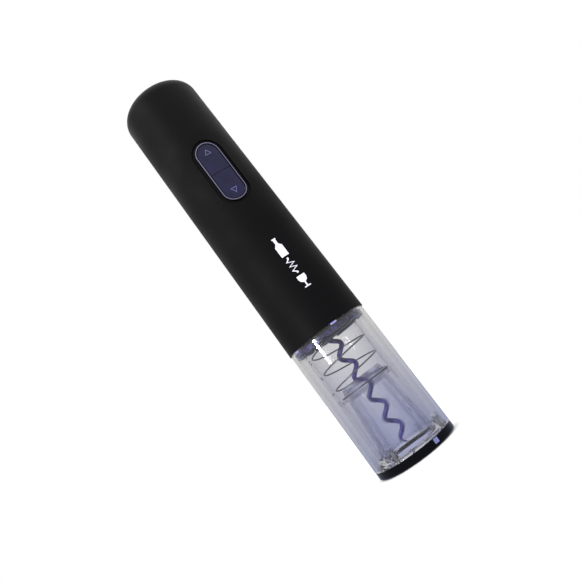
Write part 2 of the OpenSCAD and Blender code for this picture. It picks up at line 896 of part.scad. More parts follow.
// Screws of the gear case, the motor and the chassis
module inner_screws() {
    color(steel) {
        around([60, 180, 300], 13) translate([0, 0, plug_z + 0.1]) screw(0.95, 6.4, 1.9, 1.4);
        around([0, 180], 8) translate([0, 0, case_top - 1.3]) screw(1, 3.4, 1.8, 1.3);
        around([45, 225], 16) translate([0, 0, plate_top + 4.6]) mirror([0, 0, 1]) screw(0.95, 4.5, 1.8, 1.6);
    }
}

module base_screws() {
    color(steel) around([45, 135, 225, 315], boss_ring_r) translate([0, 0, 0.4]) screw(0.95, 9, 1.75, 1.4);
}

// ---------- leads ----------

terminal_z = motor_z + motor_l + 5;
board_back = board_y + 0.7;

module motor_leads() {
    color([0.7, 0.1, 0.1])
        lead([[9, -1, terminal_z], [9, -3, terminal_z + 3], [8, -8, terminal_z + 5], [6, -12, terminal_z + 7],
              [5, board_back, 160], [5, board_back, 163]]);
    color(gloss_black)
        lead([[-9, -1, terminal_z], [-9, -3, terminal_z + 3], [-8, -8, terminal_z + 5], [-6, -12, terminal_z + 7],
              [-5, board_back, 160], [-5, board_back, 163]]);
}

module battery_leads() {
    for (s = [-1, 1]) color(s > 0 ? [0.7, 0.1, 0.1] : gloss_black)
        lead([[s * 0.8, -10.5, bay_floor - 0.3], [s * 0.8, -10.5, 175], [s * 1.2, -11.5, 172.4],
              [s * 1.8, -13.6, 170.6], [s * 2, board_back, 168.5], [s * 2, board_back, 165]]);
}

module led_leads() {
    for (s = [-1, 1]) color(s > 0 ? [0.7, 0.1, 0.1] : gloss_black)
        lead([[s * 1.1, -16, 155.6], [s * 1.1, -18.4, 151], [s * 0.9, -19.4, 146], [s * 0.9, -19.4, 132],
              [s * 0.9, -19.4, 113], [s * 0.9, -19.4, 108], [4 + s * 0.9, -19.3, 102], [9 + s * 0.8, -17.6, 96],
              [13.72 + s * 0.5, -13.72 + s * 0.5, 88],
              [13.72 + s * 0.5, -13.72 + s * 0.5, 79.3]], 0.5);
}

housing();
battery_door();
button_frame();
frame_trim();
down_button();
up_button();
switch_board();
tact_switches();
down_plunger();
up_plunger();
board_parts();
button_leds();
chassis();
cell_1();
cell_2();
cell_3();
cell_4();
contact_springs();
contact_plates();
motor_can();
motor_magnets();
motor_cap();
motor_terminals();
motor_bush();
motor_shaft();
armature();
windings();
motor_pinion();
planet_1a();
planet_1b();
planet_1c();
stage_carrier();
planet_2a();
planet_2b();
planet_2c();
output_carrier();
gear_case();
gear_plate();
thrust_washer();
output_bush();
bulkhead();
worm_holder();
worm();
led_ring_board();
ring_leds();
collar_ring();
clear_tube();
guide_tube();
base_ring();
carriage();
carriage_cap();
worm_guide();
spring_seat();
carriage_spring();
housing_screws();
inner_screws();
base_screws();
motor_leads();
battery_leads();
led_leads();
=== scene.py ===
# %% [markdown]
# # Looks for an electric wine opener
# The opener is a black handle over a clear tube. Inside the tube are a coiled worm, a spring and a
# sliding carriage. The measured solids come ready made. This lesson adds the finishes, the light, the
# camera and the pieces that look better when they are modelled by hand: the two coils, the symbols on
# the buttons, the printed marks and the grip of the battery door.

import json
import math

import bpy
from mathutils import Matrix, Vector

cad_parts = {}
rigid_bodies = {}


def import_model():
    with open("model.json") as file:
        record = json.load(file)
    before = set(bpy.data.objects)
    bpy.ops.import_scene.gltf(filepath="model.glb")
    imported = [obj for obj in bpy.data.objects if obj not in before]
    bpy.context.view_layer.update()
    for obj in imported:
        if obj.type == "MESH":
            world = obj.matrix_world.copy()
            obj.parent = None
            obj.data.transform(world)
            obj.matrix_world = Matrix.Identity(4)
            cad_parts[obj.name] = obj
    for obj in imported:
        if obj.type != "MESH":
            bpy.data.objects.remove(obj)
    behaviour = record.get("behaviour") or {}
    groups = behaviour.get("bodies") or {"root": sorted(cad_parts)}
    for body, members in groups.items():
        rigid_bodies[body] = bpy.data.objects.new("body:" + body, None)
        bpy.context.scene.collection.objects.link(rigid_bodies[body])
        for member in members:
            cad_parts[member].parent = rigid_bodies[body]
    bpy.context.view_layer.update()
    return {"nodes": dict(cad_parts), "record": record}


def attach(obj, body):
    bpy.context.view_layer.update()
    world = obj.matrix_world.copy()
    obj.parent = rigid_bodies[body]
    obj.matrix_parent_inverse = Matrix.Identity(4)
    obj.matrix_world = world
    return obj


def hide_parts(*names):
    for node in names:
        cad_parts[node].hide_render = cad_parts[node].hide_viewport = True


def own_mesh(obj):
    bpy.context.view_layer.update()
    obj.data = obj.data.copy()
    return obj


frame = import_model()
solids = frame["nodes"]
MM = 0.001

# %% [markdown]
# ## Colours and nodes
# Colours are picked as they look on a screen, as hex values, and the shader wants linear light. One
# function turns the first into the second. A second small function adds a shader node, sets it up and
# links it, which keeps each finish short enough to read in one go.

# %% Colours and the node-adding function
def linear(hex_colour, alpha=1.0):
    """Turns an sRGB hex colour such as "#1b1a1c" into linear RGBA."""
    channels = [int(hex_colour[i:i + 2], 16) / 255 for i in (1, 3, 5)]
    return [c / 12.92 if c <= 0.04045 else ((c + 0.055) / 1.055) ** 2.4 for c in channels] + [alpha]


def add(tree, kind, settings=None, inputs=None):
    """Adds one node. settings are its properties; inputs are values or sockets for its inputs."""
    new = tree.nodes.new(kind)
    for key, value in (settings or {}).items():
        setattr(new, key, value)
    for key, value in (inputs or {}).items():
        if isinstance(value, bpy.types.NodeSocket):
            tree.links.new(value, new.inputs[key])
        else:
            new.inputs[key].default_value = value
    return new


def finish(name, colour, roughness, metallic=0.0, **shader):
    """Starts a finish: a Principled shader with its plain values set on its own sockets."""
    made = bpy.data.materials.new(name)
    made.use_nodes = True
    tree = made.node_tree
    bsdf = tree.nodes["Principled BSDF"]
    bsdf.inputs["Base Color"].default_value = linear(colour)
    bsdf.inputs["Roughness"].default_value = roughness
    bsdf.inputs["Metallic"].default_value = metallic
    for key, value in shader.items():
        bsdf.inputs[key.replace("_", " ")].default_value = value
    place = add(tree, "ShaderNodeTexCoord").outputs["Object"]
    return made, tree, bsdf, place


# %% [markdown]
# Most finishes are built from the same four things: noise with lumps of a given size in millimetres,
# a blend of two colours, a value stretched onto another range, and a bump of a given depth.

# %% What finishes are built from
def noise(tree, place, lump, detail):
    """A value that varies between 0 and 1 over lumps of about that many mm."""
    settings = {"Vector": place, "Scale": 1 / (lump * MM), "Detail": detail}
    return add(tree, "ShaderNodeTexNoise", inputs=settings).outputs["Fac"]


def blend(tree, factor, first, second):
    """The first colour where the factor is 0 and the second where it is 1; each is hex or a socket."""
    first, second = (linear(c) if isinstance(c, str) else c for c in (first, second))
    mix = add(tree, "ShaderNodeMix", {"data_type": "RGBA"}, {"Factor": factor, "A": first, "B": second})
    return mix.outputs["Result"]


def spread(tree, value, low, high, to_low=0.0, to_high=1.0):
    """Stretches low..high onto to_low..to_high."""
    settings = {"Value": value, "From Min": low, "From Max": high, "To Min": to_low, "To Max": to_high}
    return add(tree, "ShaderNodeMapRange", inputs=settings).outputs["Result"]


def bumps(tree, height, strength, depth=0.05):
    """Dents of up to that many mm, as a normal."""
    settings = {"Height": height, "Strength": strength, "Distance": depth * MM}
    return add(tree, "ShaderNodeBump", inputs=settings).outputs["Normal"]


def heights(tree, place):
    """The height above the floor, in metres."""
    return add(tree, "ShaderNodeSeparateXYZ", inputs={"Vector": place}).outputs["Z"]


def feed(tree, bsdf, **sockets):
    """Links values to the shader's own sockets, with _ for a space in a socket's name."""
    for key, value in sockets.items():
        tree.links.new(value, bsdf.inputs[key.replace("_", " ")])


finishes = {}

# %% [markdown]
# ## Soft-touch coating on ABS
# The handle is moulded in ABS and sprayed with a soft-touch paint, a matt rubbery lacquer. It gives
# the eye a deep black with a wide, dim highlight and a little warm sheen where the surface turns
# away. The spray leaves a pebble of about 0.5 mm, and handling leaves broad, slightly smoother areas.

# %% Soft-touch coating
soft, tree, bsdf, place = finish("soft-touch lacquer on ABS", "#080709", 0.6, Specular_IOR_Level=0.1,
                                 Sheen_Weight=0.02, Sheen_Roughness=0.4)
bsdf.inputs["Sheen Tint"].default_value = linear("#cfc4ba")
pebble = noise(tree, place, 0.5, 3.0)
handled = noise(tree, place, 28, 2.0)
feed(tree, bsdf, Base_Color=blend(tree, pebble, "#030304", "#070609"),
     Roughness=spread(tree, handled, 0.35, 0.65, 0.5, 0.64), Normal=bumps(tree, pebble, 0.14))
finishes["soft_touch_black"] = soft
print("made", soft.name)

# %% [markdown]
# ## Polished black ABS
# The base ring, the button frame and the plate over the spring are glossy mouldings. A polished
# mould gives a mirror-like skin with very long, shallow waves, and use adds hairline scratches.

# %% Polished ABS
gloss, tree, bsdf, place = finish("polished black ABS", "#040405", 0.12, Specular_IOR_Level=0.14)
wave = noise(tree, place, 12, 1.0)
scratches = noise(tree, place, 0.8, 4.0)
feed(tree, bsdf, Roughness=spread(tree, scratches, 0.4, 0.75, 0.09, 0.22),
     Normal=bumps(tree, wave, 0.06, depth=0.3))
finishes["gloss_black"] = gloss
print("made", gloss.name)

# %% [markdown]
# ## Clear styrene
# The tube, its inner wall and the carriage are injection-moulded in a clear plastic with a grey-lilac
# cast. Light crosses up to six walls on its way through, so each wall takes only a little of it. The
# inner walls bend light less than the outer one, and the carriage lets part of it through unbent,
# because a full bend at every wall would hide the worm. Where a wall is seen at a slant the light goes
# a longer way through it, so it looks greyer there, and a Layer Weight node makes the colour follow
# that. The mould leaves flow lines along the tube, which only show as a soft ripple.

# %% Clear plastics
def clear_plastic(name, colour, slanted, ior, ripple, share=1.0):
    """A clear wall. share is the part of the light that is bent; the rest goes straight through."""
    made, tree, bsdf, place = finish(name, colour, 0.01, IOR=ior, Transmission_Weight=1.0, Alpha=share)
    slant = add(tree, "ShaderNodeLayerWeight", inputs={"Blend": 0.5}).outputs["Facing"]
    stretch = add(tree, "ShaderNodeMapping", inputs={"Vector": place, "Scale": (1.0, 1.0, 0.06)})
    flow = noise(tree, stretch.outputs["Vector"], 4, 2.0)
    feed(tree, bsdf, Base_Color=blend(tree, slant, colour, slanted),
         Normal=bumps(tree, flow, ripple, depth=0.25))
    return made


# %% [markdown]
# The outer tube has two latch tabs at its foot. Below the top of the base ring the wall gets a faint
# lilac emission. It is a painted glow that stands in for lamp light coming out at the tabs' cut ends;
# the tube is no lamp.

# %% Painted glow at the foot of the tube
def paint_foot_glow(made, level, colour, strength):
    """Paints a glow into a finish below a level, in mm."""
    tree = made.node_tree
    bsdf = tree.nodes["Principled BSDF"]
    bsdf.inputs["Emission Strength"].default_value = strength
    place = add(tree, "ShaderNodeTexCoord").outputs["Object"]
    below = add(tree, "ShaderNodeMath", {"operation": "LESS_THAN"}, {0: heights(tree, place), 1: level * MM})
    feed(tree, bsdf, Emission_Color=blend(tree, below.outputs["Value"], "#000000", colour))


outer_clear = clear_plastic("clear styrene, outer tube", "#fdfdfd", "#c9c9cf", 1.46, 0.12)
inner_clear = clear_plastic("clear styrene, inner wall", "#fbfbfd", "#e6e6ee", 1.15, 0.1)
carriage_clear = clear_plastic("clear styrene, carriage", "#eeeff8", "#a4a9d6", 1.25, 0.1, share=0.6)
# a painted lilac glow on the outer tube below 4.2 mm; the tube is no lamp
paint_foot_glow(outer_clear, 4.2, "#7d82b8", 0.45)
finishes["clear_plastic"] = outer_clear
print("made three clear plastics")

# %% [markdown]
# ## Indigo acrylic
# A ring sits just under the handle and spreads the light of four small lamps. Its deep indigo is partly
# the ring's own dark blue and partly painted lamp light. It is partly see-through, with paler upright bars
# painted where the lamp light gathers, and a faint emission paints the lamps' glow in it, though the ring
# is no lamp. The lamps themselves are milky.

# %% Ring with painted lamp light, and the lamps
# the faint emission is a painted glow of lamp light; the ring is no lamp
ring_with_painted_glow, tree, bsdf, place = finish("dark blue acrylic with painted lamp light", "#1d1b4c", 0.3, Transmission_Weight=0.25,
                                   Specular_IOR_Level=0.2, Emission_Strength=0.06)
upright = add(tree, "ShaderNodeMapping", inputs={"Vector": place, "Scale": (1.0, 1.0, 0.15)})
cloud = noise(tree, upright.outputs["Vector"], 2.5, 1.0)
painted_light_bars = spread(tree, cloud, 0.5, 0.62)
# the paler bars in the base colour and the emission colour are painted lamp light
feed(tree, bsdf, Base_Color=blend(tree, painted_light_bars, "#16143c", "#4b4a8a"),
     Emission_Color=blend(tree, cloud, "#2b2a62", "#5a5cae"))
finishes["blue_collar"] = ring_with_painted_glow

lamp, tree, bsdf, place = finish("epoxy lamp, lit blue", "#c9ccf4", 0.2, Emission_Strength=0.6)
core = noise(tree, place, 1.5, 1.0)
feed(tree, bsdf, Emission_Color=blend(tree, core, "#7f86ff", "#e6e7ff"))
finishes["lamp"] = lamp
print("made", ring_with_painted_glow.name, "and", lamp.name)

# %% [markdown]
# ## Smoked blue button caps
# The buttons are dark translucent polycarbonate with a lamp behind them. They look like deep blue
# glass with a soft cloud of light in it.

# %% Button caps
keys, tree, bsdf, place = finish("smoked blue polycarbonate", "#101024", 0.25, Specular_IOR_Level=0.25,
                                 Emission_Strength=0.02)
patch = noise(tree, place, 7, 1.0)
feed(tree, bsdf, Base_Color=blend(tree, patch, "#121228", "#1b1b38"),
     Emission_Color=blend(tree, patch, "#2a2e78", "#6a70d8"))
finishes["blue_key"] = keys
print("made", keys.name)

# %% [markdown]
# ## Coated worm and spring wire
# The worm is steel with a baked black non-stick coating with a faint orange peel; its dark indigo colour
# is painted blue lamp light. The spring is drawn steel wire: metal, darker than plate, with fine lines along
# the wire.

# %% Coated worm, drawn wire
coat_painted_blue, tree, bsdf, place = finish("black non-stick coating, painted blue lamp light", "#261d68", 0.38, Coat_Weight=0.1,
                                 Coat_Roughness=0.2)
peel = noise(tree, place, 0.6, 2.0)
mottle = noise(tree, place, 5, 2.0)
# the indigo base colour is painted blue lamp light on a black coating; the mottle is random tone
feed(tree, bsdf, Base_Color=blend(tree, mottle, "#1b1456", "#2b2270"), Normal=bumps(tree, peel, 0.2))
finishes["worm_coat"] = coat_painted_blue

wire, tree, bsdf, place = finish("drawn spring steel", "#6c6c74", 0.3, metallic=1.0)
drawn = noise(tree, place, 0.35, 3.0)
feed(tree, bsdf, Roughness=spread(tree, drawn, 0.3, 0.7, 0.22, 0.42))
finishes["spring_steel"] = wire
print("made", coat_painted_blue.name, "and", wire.name)

# %% [markdown]
# ## Metals inside the handle
# Plated, turned and sintered metals differ in colour and in how the tool or powder left them:
# nickel plate is bright with soft spots, turned steel and brass have rings about the axis, and
# sintered bronze is porous.

# %% Metals
def metal(name, colour, worn, roughness, lump, stretch):
    """A metal whose spots are about lump mm across, drawn out along the axes where stretch is small."""
    made, tree, bsdf, place = finish(name, colour, roughness, metallic=1.0)
    squeeze = add(tree, "ShaderNodeMapping", inputs={"Vector": place, "Scale": stretch})
    grain = noise(tree, squeeze.outputs["Vector"], lump, 4.0)
    feed(tree, bsdf, Base_Color=blend(tree, grain, colour, worn),
         Roughness=spread(tree, grain, 0.3, 0.7, roughness * 0.75, roughness * 1.3),
         Normal=bumps(tree, grain, 0.15))
    return made


EVEN = (1, 1, 1)
TURNED = (0.1, 0.1, 1)
WOUND = (1, 1, 0.05)
finishes["nickel_steel"] = metal("nickel-plated steel", "#c3c2bf", "#aeaca8", 0.28, 3.0, EVEN)
finishes["machined_steel"] = metal("turned steel", "#a3a3a6", "#8b8b90", 0.32, 0.6, TURNED)
finishes["brass"] = metal("turned brass", "#cfa65a", "#b88f48", 0.26, 0.6, TURNED)
finishes["bronze"] = metal("sintered bronze", "#a5794a", "#7f5a35", 0.5, 0.4, EVEN)
finishes["bright_trim"] = metal("tinted chrome on ABS trim", "#8f8ba8", "#7f7b9c", 0.2, 4.0, EVEN)
finishes["copper"] = metal("enamelled copper wire", "#b4632f", "#8c4720", 0.3, 0.5, WOUND)
print("made six metals")

# %% [markdown]
# ## Plastics, boards, magnets, wraps and leads inside
# These are dull materials: natural nylon is creamy and slightly waxy, circuit boards wear a green
# or white solder mask over raised tracks, ferrite is dark and grainy, the cells have a printed
# plastic wrap and the leads are PVC, red for plus and black for minus.

# %% Nylon, ferrite and boards
def dull(name, colour, other, roughness, lump, strength, **shader):
    """A dull finish that wanders between two colours over lumps of a size in mm."""
    made, tree, bsdf, place = finish(name, colour, roughness, **shader)
    grain = noise(tree, place, lump, 4.0)
    feed(tree, bsdf, Base_Color=blend(tree, grain, colour, other), Normal=bumps(tree, grain, strength))
    return made


def tracks(name, mask, copper):
    """A solder mask over copper tracks about 1.2 mm apart."""
    made, tree, bsdf, place = finish(name, mask, 0.32, Coat_Weight=0.3)
    cells = add(tree, "ShaderNodeTexBrick", {"offset": 0.5}, {
        "Vector": place, "Scale": 1 / (5 * MM), "Mortar Size": 0.04,
        "Color1": linear(mask), "Color2": linear(mask), "Mortar": linear(copper),
    })
    feed(tree, bsdf, Base_Color=cells.outputs["Color"], Normal=bumps(tree, cells.outputs["Fac"], 0.3))
    return made


finishes["nylon"] = dull("natural nylon, moulded", "#e4dfcf", "#d3ccb8", 0.45, 1.5, 0.15,
                         Subsurface_Weight=0.1, Subsurface_Scale=0.001)
finishes["ferrite"] = dull("sintered ferrite", "#3a3a3d", "#262628", 0.7, 0.5, 0.3)
finishes["white_board"] = dull("white solder mask on fibreglass", "#e2e3e6", "#cfd1d6", 0.35, 2.0, 0.1)
finishes["circuit_board"] = tracks("green solder mask on fibreglass", "#12492b", "#2c7a4c")


# %% Cells
def cell_wrap(name, side, level, end):
    """A dark wrap with a copper band past one level, and bare steel past the cell's flat end, in mm."""
    made, tree, bsdf, place = finish(name, "#3f4149", 0.3, Coat_Weight=0.4)
    height = heights(tree, place)
    band = add(tree, "ShaderNodeMath", {"operation": side}, {0: height, 1: level * MM}).outputs["Value"]
    bare = add(tree, "ShaderNodeMath", {"operation": side}, {0: height, 1: end * MM}).outputs["Value"]
    wrapped = blend(tree, band, "#34363d", "#b9722f")
    feed(tree, bsdf, Base_Color=blend(tree, bare, wrapped, "#b8b8b6"), Metallic=bare)
    return made


finishes["cell_wrap"] = cell_wrap("printed shrink wrap, plus end up", "GREATER_THAN", 221.0, 234.05)
wrap_down = cell_wrap("printed shrink wrap, plus end down", "LESS_THAN", 196.0, 182.95)

# %% Leads, ink and the lit symbols
lead, tree, bsdf, place = finish("PVC insulation, red and black", "#8d1414", 0.42)
side = add(tree, "ShaderNodeSeparateXYZ", inputs={"Vector": place}).outputs["X"]
plus = add(tree, "ShaderNodeMath", {"operation": "GREATER_THAN"}, {0: side, 1: 0.0}).outputs["Value"]
feed(tree, bsdf, Base_Color=blend(tree, plus, "#141416", "#9a1616"))
finishes["lead_wire"] = lead

ink = dull("pad-printed white ink", "#e9e7f6", "#dcd9ee", 0.5, 0.6, 0.1)
symbol, tree, bsdf, place = finish("clear line in the paint, lilac", "#55578c", 0.3, Emission_Strength=0.05)
fade = noise(tree, place, 2, 1.0)
feed(tree, bsdf, Emission_Color=blend(tree, fade, "#9ea3ee", "#d5d7ff"))
kept_apart = (inner_clear, carriage_clear, wrap_down, ink, symbol)
print("finishes:", len(finishes) + len(kept_apart))

# %% [markdown]
# ## Dress the solids
# The record says which finish slot each solid belongs to. The clear pieces get the finish of their
# own layer, because three walls lie one inside the other and the inner ones look milkier. Two of the
# cells stand on their heads, so their wrap is turned too.

# %% Assign the finishes
own_finish = {"guide_tube": inner_clear, "carriage": carriage_clear, "carriage_cap": carriage_clear,
              "worm_guide": carriage_clear, "cell_2": wrap_down, "cell_3": wrap_down}
for entry in frame["record"]["subparts"]:
    solid = solids[entry["node"]]
    solid.data.materials.clear()
    solid.data.materials.append(own_finish.get(entry["node"], finishes[entry["material_slot"]]))

# %% [markdown]
# ## Modelling helpers
# An operator acts on everything that is selected, so each new piece starts with nothing selected.
# When a piece is done its place is put into its mesh, its normals are made to point outwards and it
# is told which body it rides on.

# %% Start and finish a piece
def start():
    """Leaves edit mode, if it is on, and deselects everything."""
    if bpy.context.object and bpy.context.object.mode != "OBJECT":
        bpy.ops.object.mode_set(mode="OBJECT")
    bpy.ops.object.select_all(action="DESELECT")


def done(name, material, body, replaces=(), smooth=40):
    """Closes off the active piece: name, place in the mesh, normals, finish and body."""
    piece = bpy.context.object
    bpy.ops.object.mode_set(mode="OBJECT")
    bpy.ops.object.transform_apply(location=True, rotation=True, scale=True)
    bpy.ops.object.mode_set(mode="EDIT")
    bpy.ops.mesh.select_all(action="SELECT")
    bpy.ops.mesh.remove_doubles(threshold=0.002 * MM)
    bpy.ops.mesh.normals_make_consistent(inside=False)
    bpy.ops.object.mode_set(mode="OBJECT")
    bpy.ops.object.shade_smooth_by_angle(angle=math.radians(smooth))
    piece.name = name
    piece.data.materials.clear()
    piece.data.materials.append(material)
    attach(piece, body)
    if replaces:
        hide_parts(*replaces)
    print(name, "has", len(piece.data.polygons), "faces")
    return piece


# %% [markdown]
# ## The coils
# A real worm is wound from round wire and ground to a point. The way by hand is the same: one ring
# of points is stood across the wire's direction and extruded again and again, each time turned a
# little about the axis, raised, and scaled where the wire is ground thin.

# %% Extrude a ring along a coil
def coil(sides, path):
    """Winds a wire; path lists (coil radius, angle in degrees, height, wire radius), in metres."""
    start()
    (r0, a0, z0, w0), (r1, a1, z1, w1) = path[0], path[1]
    rise = math.atan2(z1 - z0, r0 * math.radians(a1 - a0))
    bpy.ops.mesh.primitive_circle_add(vertices=sides, radius=w0, location=(r0, 0, z0),
                                      rotation=(rise - math.pi / 2, 0, 0))
    bpy.ops.object.transform_apply(location=True, rotation=True, scale=True)
    bpy.ops.object.mode_set(mode="EDIT")
    bpy.ops.mesh.select_all(action="SELECT")
    # with no window the rotate operator turns the other way, so the angle is given a minus
    bpy.ops.transform.rotate(value=-math.radians(a0), orient_axis="Z", center_override=(0, 0, 0))
    bpy.ops.mesh.edge_face_add()
    for (r, a, z, w), (rn, an, zn, wn) in zip(path, path[1:]):
        bpy.ops.mesh.extrude_region_move()
        bpy.ops.transform.rotate(value=-math.radians(an - a), orient_axis="Z", center_override=(0, 0, 0))
        out = (rn - r) * math.cos(math.radians(an)), (rn - r) * math.sin(math.radians(an))
        bpy.ops.transform.translate(value=(out[0], out[1], zn - z))
        centre = (rn * math.cos(math.radians(an)), rn * math.sin(math.radians(an)), zn)
        if abs(wn - w) > 1e-9:
            bpy.ops.transform.resize(value=(wn / w,) * 3, center_override=centre)


# %% [markdown]
# ### The worm
# It is right-handed, 8 mm across, and climbs 12.85 mm in each turn. The lowest 7 mm taper to the
# tip, and at the top the wire bends onto the axis and goes straight into its holder.

# %% Worm
VIEW = -16  # degrees: how far round the axis the camera stands from the buttons
PITCH = 12.85 * MM
COIL_R = 2.7 * MM
WORM_WIRE = 1.3 * MM
TIP_Z, TAPER, BEND_Z, BEND = 6.6 * MM, 7 * MM, 74.6 * MM, 1.5 * MM
RIGHT_Z = 16.7 * MM  # a height at which the wire is furthest right in that view
STEPS, BEND_STEPS = 180, 8


def worm_angle(z):
    """The wire's direction from the axis at a height, in degrees."""
    return VIEW + 360 * (z - RIGHT_Z) / PITCH


route = []
for i in range(STEPS + 1):
    z = TIP_Z + (BEND_Z - TIP_Z) * i / STEPS
    ground = min(1.0, (z - TIP_Z) / TAPER)
    route.append((COIL_R * (0.72 + 0.28 * ground), worm_angle(z), z, WORM_WIRE * max(0.08, ground ** 0.75)))
for i in range(1, BEND_STEPS + 1):
    u = i / BEND_STEPS
    z = BEND_Z + BEND * u
    route.append((COIL_R * (1 - u) ** 2, worm_angle(z), z, WORM_WIRE))
coil(14, route)
done("coated_worm", coat_painted_blue, "worm_unit", ["worm"], smooth=60)

# %% [markdown]
# ### The carriage spring
# Thin wire with three open turns between closed ends. It is squeezed between the carriage and the
# plate above, and it rides with the carriage.

# %% Spring
LOW_Z, HIGH_Z = 43.13 * MM, 75.55 * MM
LOW_R, HIGH_R = 14.3 * MM, 15.3 * MM
SPRING_WIRE = 0.4 * MM
OPEN, CLOSED = 3, 1  # turns: open ones, and closed ones at each end
TURNS = OPEN + 2 * CLOSED
CLOSED_PITCH = 2 * SPRING_WIRE + 0.05 * MM
SPRING_STEPS = 240


def spring_height(turn):
    """The height of the wire after a number of turns from the bottom."""
    if turn < CLOSED:
        return LOW_Z + CLOSED_PITCH * turn
    if turn > OPEN + CLOSED:
        return HIGH_Z - CLOSED_PITCH * (TURNS - turn)
    open_rise = HIGH_Z - LOW_Z - 2 * CLOSED_PITCH * CLOSED
    return LOW_Z + CLOSED_PITCH * CLOSED + open_rise * (turn - CLOSED) / OPEN


route = []
for i in range(SPRING_STEPS + 1):
    turn = TURNS * i / SPRING_STEPS
    radius = LOW_R + (HIGH_R - LOW_R) * turn / TURNS
    route.append((radius, VIEW + 360 * turn, spring_height(turn), SPRING_WIRE))
coil(12, route)
spring = done("coil_spring", wire, "carriage_unit", ["carriage_spring"], smooth=60)
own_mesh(spring)

# %% [markdown]
# ## Symbols on the buttons
# Each button carries the thin outline of a triangle, down on the lower and up on the upper one. On
# the real thing it is a clear line in the paint. A three-sided disc is inset, its middle is deleted,
# the frame that is left is extruded to a thin plate, and the plate stands a hair proud of the cap.

# %% Lit triangles
FACE_Y = -23.35 * MM
SUNK, THICK = 0.25 * MM, 0.3 * MM
TRIANGLE_R, LINE = 2.2 * MM, 0.28 * MM


def lit_triangle(name, body, z, up):
    """A thin triangle frame at a height z, pointing up or down with up = 1 or -1."""
    start()
    bpy.ops.mesh.primitive_circle_add(vertices=3, radius=TRIANGLE_R, fill_type="NGON",
                                      location=(0, FACE_Y + SUNK, z), rotation=(math.pi / 2, 0, 0))
    piece = bpy.context.object
    bpy.ops.object.transform_apply(location=True, rotation=True, scale=True)
    tip = max(piece.data.vertices, key=lambda v: abs(v.co.z - z)).co.z - z
    bpy.ops.object.mode_set(mode="EDIT")
    bpy.ops.mesh.select_all(action="SELECT")
    if tip * up < 0:
        bpy.ops.transform.resize(value=(1, 1, -1), center_override=(0, FACE_Y, z))
    bpy.ops.mesh.inset(thickness=LINE)
    bpy.ops.mesh.delete(type="FACE")
    bpy.ops.mesh.select_all(action="SELECT")
    bpy.ops.mesh.extrude_region_move(TRANSFORM_OT_translate={"value": (0, -THICK, 0)})
    done(name, symbol, body)


lit_triangle("lower_symbol", "lower_button", 165 * MM, -1)
lit_triangle("upper_symbol", "upper_button", 191 * MM, 1)

# %% [markdown]
# ## Printed marks
# The handle has a line of print between the buttons and the clear tube: a bottle, a corkscrew's
# zigzag and a glass. Each is drawn flat in front of the handle from a plane, cut finer, laid on the
# curved wall with a Shrinkwrap modifier and given the thickness of ink with Solidify.

# %% Lay a flat drawing on the handle
DRAW_Y = -30 * MM
INK, INK_GAP = 0.04 * MM, 0.03 * MM


def lay_on_handle(name):
    """Presses the flat drawing onto the housing and gives it the thickness of ink."""
    piece = bpy.context.object
    bpy.ops.object.mode_set(mode="OBJECT")
    bpy.ops.object.transform_apply(location=True, rotation=True, scale=True)
    bpy.ops.object.mode_set(mode="EDIT")
    bpy.ops.mesh.select_all(action="SELECT")
    bpy.ops.mesh.remove_doubles(threshold=0.01 * MM)
    bpy.ops.mesh.quads_convert_to_tris()
    bpy.ops.mesh.subdivide(number_cuts=3)
    bpy.ops.object.mode_set(mode="OBJECT")
    press = piece.modifiers.new("lay", "SHRINKWRAP")
    press.target = solids["housing"]
    press.wrap_method = "PROJECT"
    press.use_project_y = True
    press.use_positive_direction = True
    press.use_negative_direction = False
    press.offset = INK_GAP
    bpy.ops.object.modifier_apply(modifier="lay")
    skin = piece.modifiers.new("ink", "SOLIDIFY")
    skin.thickness = INK
    skin.offset = 0
    bpy.ops.object.modifier_apply(modifier="ink")
    done(name, ink, "handle")


def flat_plane(z, width, height):
    """A flat rectangle in front of the handle with its middle at a height z, in mm."""
    bpy.ops.mesh.primitive_plane_add(size=1, location=(0, DRAW_Y, z * MM), rotation=(math.pi / 2, 0, 0))
    bpy.context.object.scale = (width * MM, height * MM, 1)
    bpy.ops.object.transform_apply(location=True, rotation=True, scale=True)
    return bpy.context.object


def pick_edges(piece, test):
    """Selects the edges whose two ends both pass the test."""
    bpy.ops.object.mode_set(mode="EDIT")
    bpy.ops.mesh.select_mode(type="EDGE")
    bpy.ops.mesh.select_all(action="DESELECT")
    bpy.ops.object.mode_set(mode="OBJECT")
    for edge in piece.data.edges:
        edge.select = all(test(piece.data.vertices[v].co / MM) for v in edge.vertices)
    bpy.ops.object.mode_set(mode="EDIT")


def pull(*steps):
    """Extrudes the chosen edge upwards; each step is its rise in mm and how much wider it gets."""
    for rise, wider in steps:
        bpy.ops.mesh.extrude_region_move(TRANSFORM_OT_translate={"value": (0, 0, rise * MM)})
        if wider != 1.0:
            bpy.ops.transform.resize(value=(wider, 1, 1), center_override=(0, DRAW_Y, 0))


# %% [markdown]
# The bottle starts as a rectangle. Its top edge is extruded and narrowed for the shoulder, extruded
# straight for the neck, and extruded once more for the lip.

# %% Bottle picture
start()
bottle = flat_plane(122.1, 4.4, 6.2)
pick_edges(bottle, lambda p: p.z > 125)
pull((1.6, 0.36), (2.6, 1.0), (0.0, 1.45), (0.8, 1.0))
lay_on_handle("printed_bottle")

# %% [markdown]
# The zigzag is one slanted bar that is extruded from its end again and again, left and right.

# %% Zigzag picture
start()
zigzag = flat_plane(117.2, 1.0, 1.0)
pick_edges(zigzag, lambda p: p.z < 116.8)
for sideways in (-1.8, 3.6, -3.6, 3.6, -3.6, 1.8):
    bpy.ops.mesh.extrude_region_move(TRANSFORM_OT_translate={"value": (sideways * MM, 0, -1.3 * MM)})
pull((-0.9, 1.0))
lay_on_handle("printed_zigzag")

